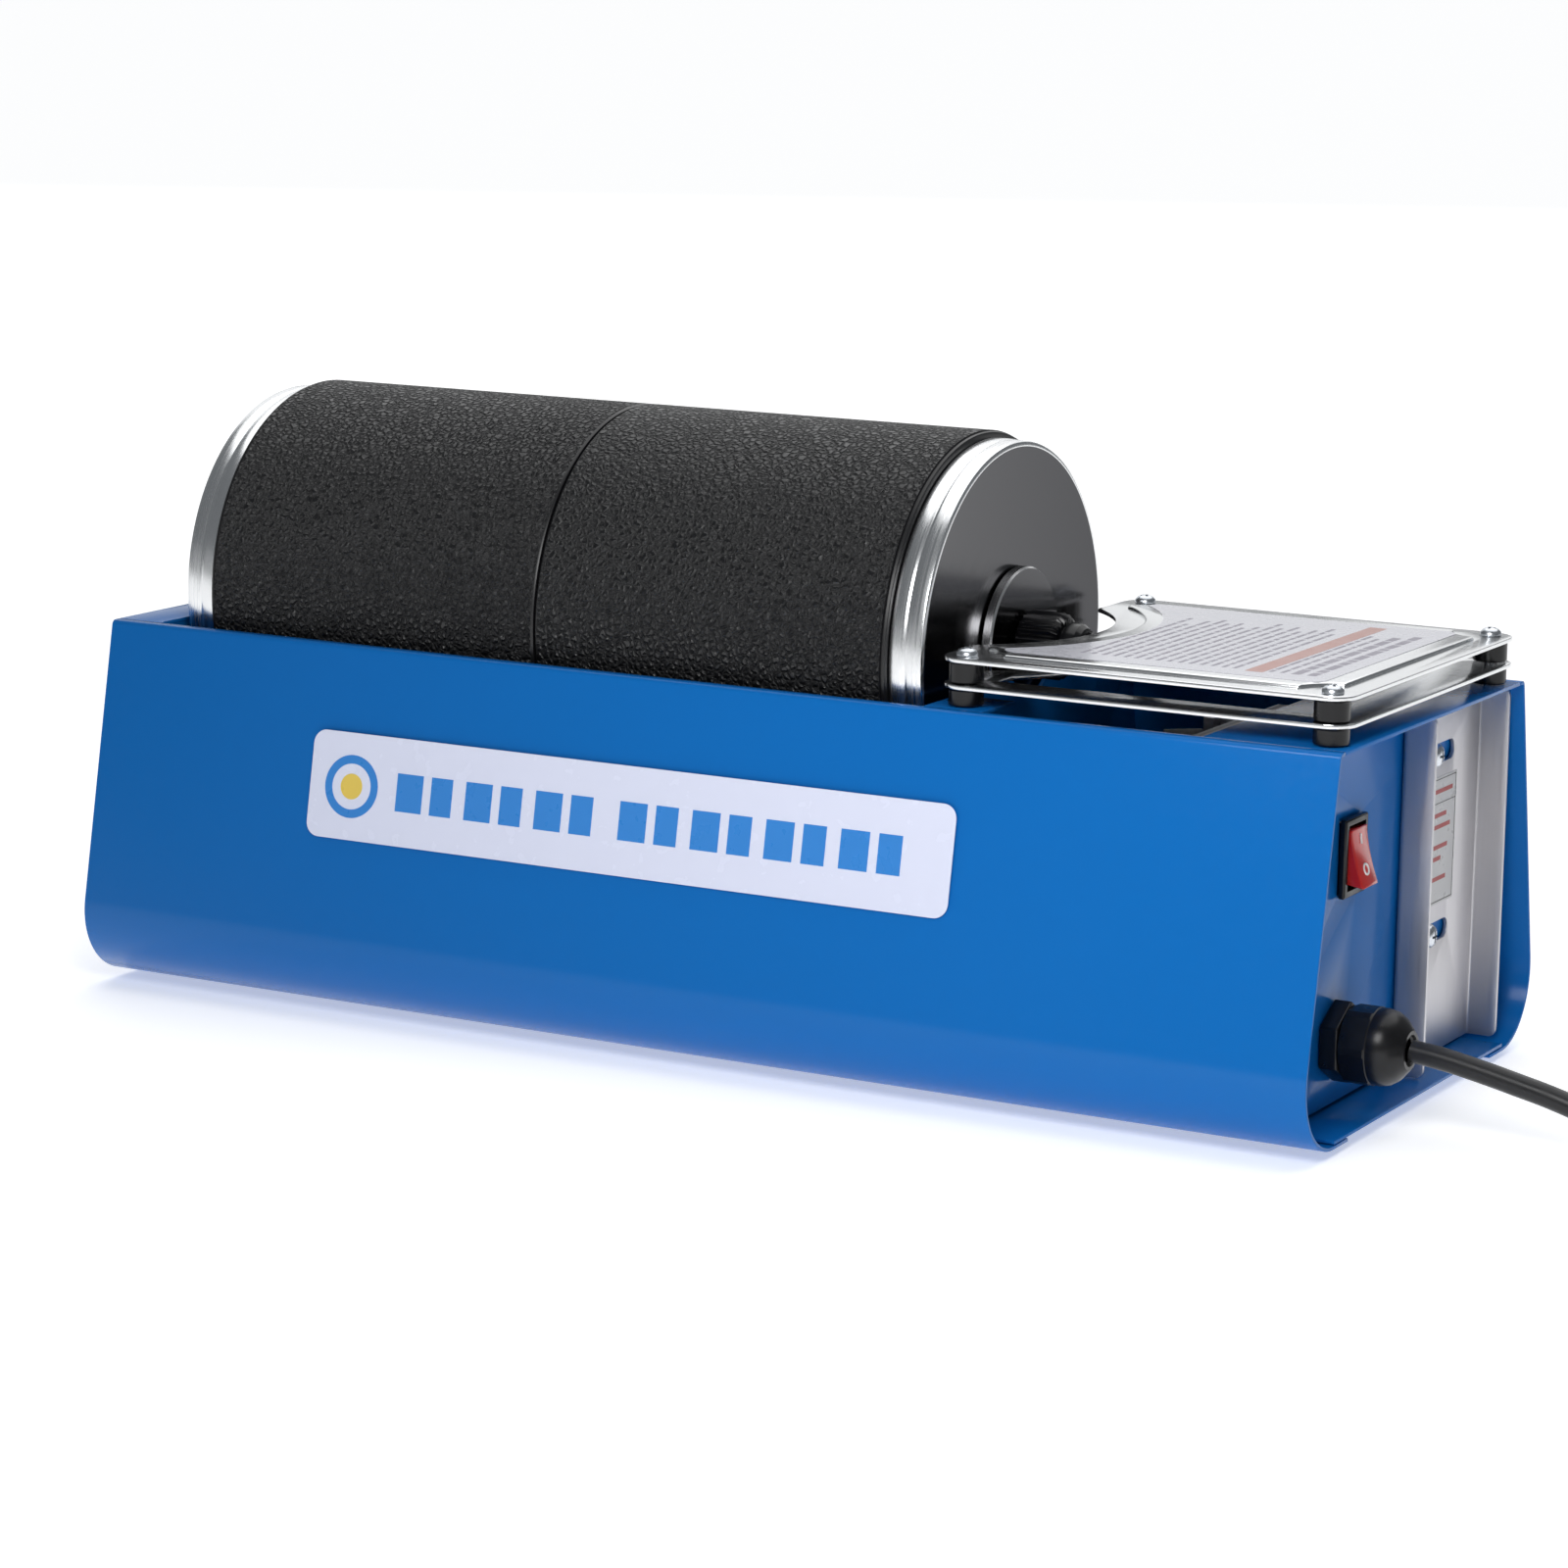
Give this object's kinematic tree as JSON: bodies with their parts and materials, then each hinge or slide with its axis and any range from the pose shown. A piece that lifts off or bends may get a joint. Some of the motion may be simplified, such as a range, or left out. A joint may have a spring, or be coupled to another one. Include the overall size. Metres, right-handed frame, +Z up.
{
  "type": "rock tumbler",
  "caption": "Bench rock tumbler: rubber barrels with screwed lids lie end to end on rollers in a blue sheet-metal base, beside a decked motor bay with rocker switch.",
  "frame": {"origin": "centre of the base's footprint, on the plane its feet stand on", "axes": "+Z up, +X along the base towards the motor end, switch and cord, +Y towards the rear side sheet; the side sheet with the badge faces -Y"},
  "size_m": [0.5797, 0.1953, 0.1704],
  "materials": {
    "blue_enamel": "gloss",
    "bright_steel": "satin",
    "spun_aluminium": "satin",
    "black_rubber": "textured",
    "black_plastic": "matte",
    "red_plastic": "gloss",
    "bronze": "satin",
    "lamination_steel": "matte",
    "copper_winding": "gloss",
    "nylon": "matte",
    "pvc_cord": "satin",
    "pale_badge": "satin"
  },
  "bodies": {
    "base": {"front_side_sheet": "blue_enamel", "rear_side_sheet": "blue_enamel", "floor_plate": "blue_enamel", "left_end_panel": "blue_enamel", "right_end_panel": "blue_enamel", "partition_panel": "blue_enamel", "rubber_foot_1": "black_rubber", "rubber_foot_2": "black_rubber", "rubber_foot_3": "black_rubber", "rubber_foot_4": "black_rubber", "vent_plate": "bright_steel", "top_plate": "bright_steel", "lower_spacer_1": "black_plastic", "lower_spacer_2": "black_plastic", "lower_spacer_3": "black_plastic", "lower_spacer_4": "black_plastic", "upper_spacer_1": "black_plastic", "upper_spacer_2": "black_plastic", "upper_spacer_3": "black_plastic", "upper_spacer_4": "black_plastic", "drive_bush_left": "bronze", "drive_bush_right": "bronze", "idler_bush_left": "bronze", "idler_bush_right": "bronze", "tension_channel": "spun_aluminium", "switch_body": "black_plastic", "gland_body": "black_plastic", "gland_nut": "black_plastic", "front_badge": "pale_badge", "drive_belt": "black_rubber", "power_cord": "pvc_cord", "cord_coil": "pvc_cord", "mains_plug": "black_plastic"},
    "drive_roller": {"drive_shaft": "bright_steel", "drive_sleeve": "black_rubber", "drive_pulley": "nylon"},
    "idler_roller": {"idler_shaft": "bright_steel", "idler_sleeve": "black_rubber"},
    "left_barrel": {"left_rubber_barrel": "black_rubber", "left_inner_lid": "bright_steel", "left_outer_lid": "spun_aluminium", "left_lid_stud": "bright_steel", "left_lid_disc": "bright_steel"},
    "right_barrel": {"right_rubber_barrel": "black_rubber", "right_inner_lid": "bright_steel", "right_outer_lid": "spun_aluminium", "right_lid_stud": "bright_steel", "right_lid_disc": "bright_steel"},
    "left_knob_body": {"left_knob": "black_plastic"},
    "right_knob_body": {"right_knob": "black_plastic"},
    "motor_carriage": {"stator_core": "lamination_steel", "stator_coil": "copper_winding", "motor_bracket_inner": "spun_aluminium", "motor_bracket_outer": "spun_aluminium", "motor_screw_upper": "bright_steel", "motor_screw_lower": "bright_steel"},
    "motor_rotor_body": {"motor_rotor": "bright_steel", "motor_fan": "nylon", "motor_pulley": "nylon"},
    "rocker_body": {"rocker": "red_plastic"}
  },
  "joints": [
    {"name": "drive_spin", "type": "hinge", "parent": "base", "child": "drive_roller", "pos_m": [0, -0.038, 0.05643], "axis": [1, 0, 0], "continuous": true},
    {"name": "idler_spin", "type": "hinge", "parent": "base", "child": "idler_roller", "pos_m": [0, 0.038, 0.05643], "axis": [1, 0, 0], "continuous": true},
    {"name": "left_barrel_spin", "type": "hinge", "parent": "base", "child": "left_barrel", "pos_m": [-0.1123, 0, 0.1133], "axis": [1, 0, 0], "continuous": true},
    {"name": "right_barrel_spin", "type": "hinge", "parent": "base", "child": "right_barrel", "pos_m": [0.0077, 0, 0.1133], "axis": [1, 0, 0], "continuous": true},
    {"name": "left_knob_turn", "type": "hinge", "parent": "left_barrel", "child": "left_knob_body", "pos_m": [-0.184, 0, 0.1133], "axis": [-1, 0, 0], "continuous": true},
    {"name": "right_knob_turn", "type": "hinge", "parent": "right_barrel", "child": "right_knob_body", "pos_m": [0.08, 0, 0.1133], "axis": [1, 0, 0], "continuous": true},
    {"name": "motor_tension", "type": "slide", "parent": "base", "child": "motor_carriage", "axis": [0, 1, 0], "range_m": [-0.004, 0]},
    {"name": "motor_spin", "type": "hinge", "parent": "motor_carriage", "child": "motor_rotor_body", "pos_m": [0.12, 0.03, 0.0638], "axis": [1, 0, 0], "continuous": true},
    {"name": "rocker_tilt", "type": "hinge", "parent": "base", "child": "rocker_body", "pos_m": [0.1789, -0.0246, 0.0708], "axis": [0, 1, 0], "range_deg": [0, 24]}
  ],
  "couplings": [
    {"joint": "idler_spin", "follows": "drive_spin", "ratio": 1},
    {"joint": "left_barrel_spin", "follows": "drive_spin", "ratio": -0.19264},
    {"joint": "right_barrel_spin", "follows": "drive_spin", "ratio": -0.19264},
    {"joint": "motor_spin", "follows": "drive_spin", "ratio": 3.3529}
  ]
}
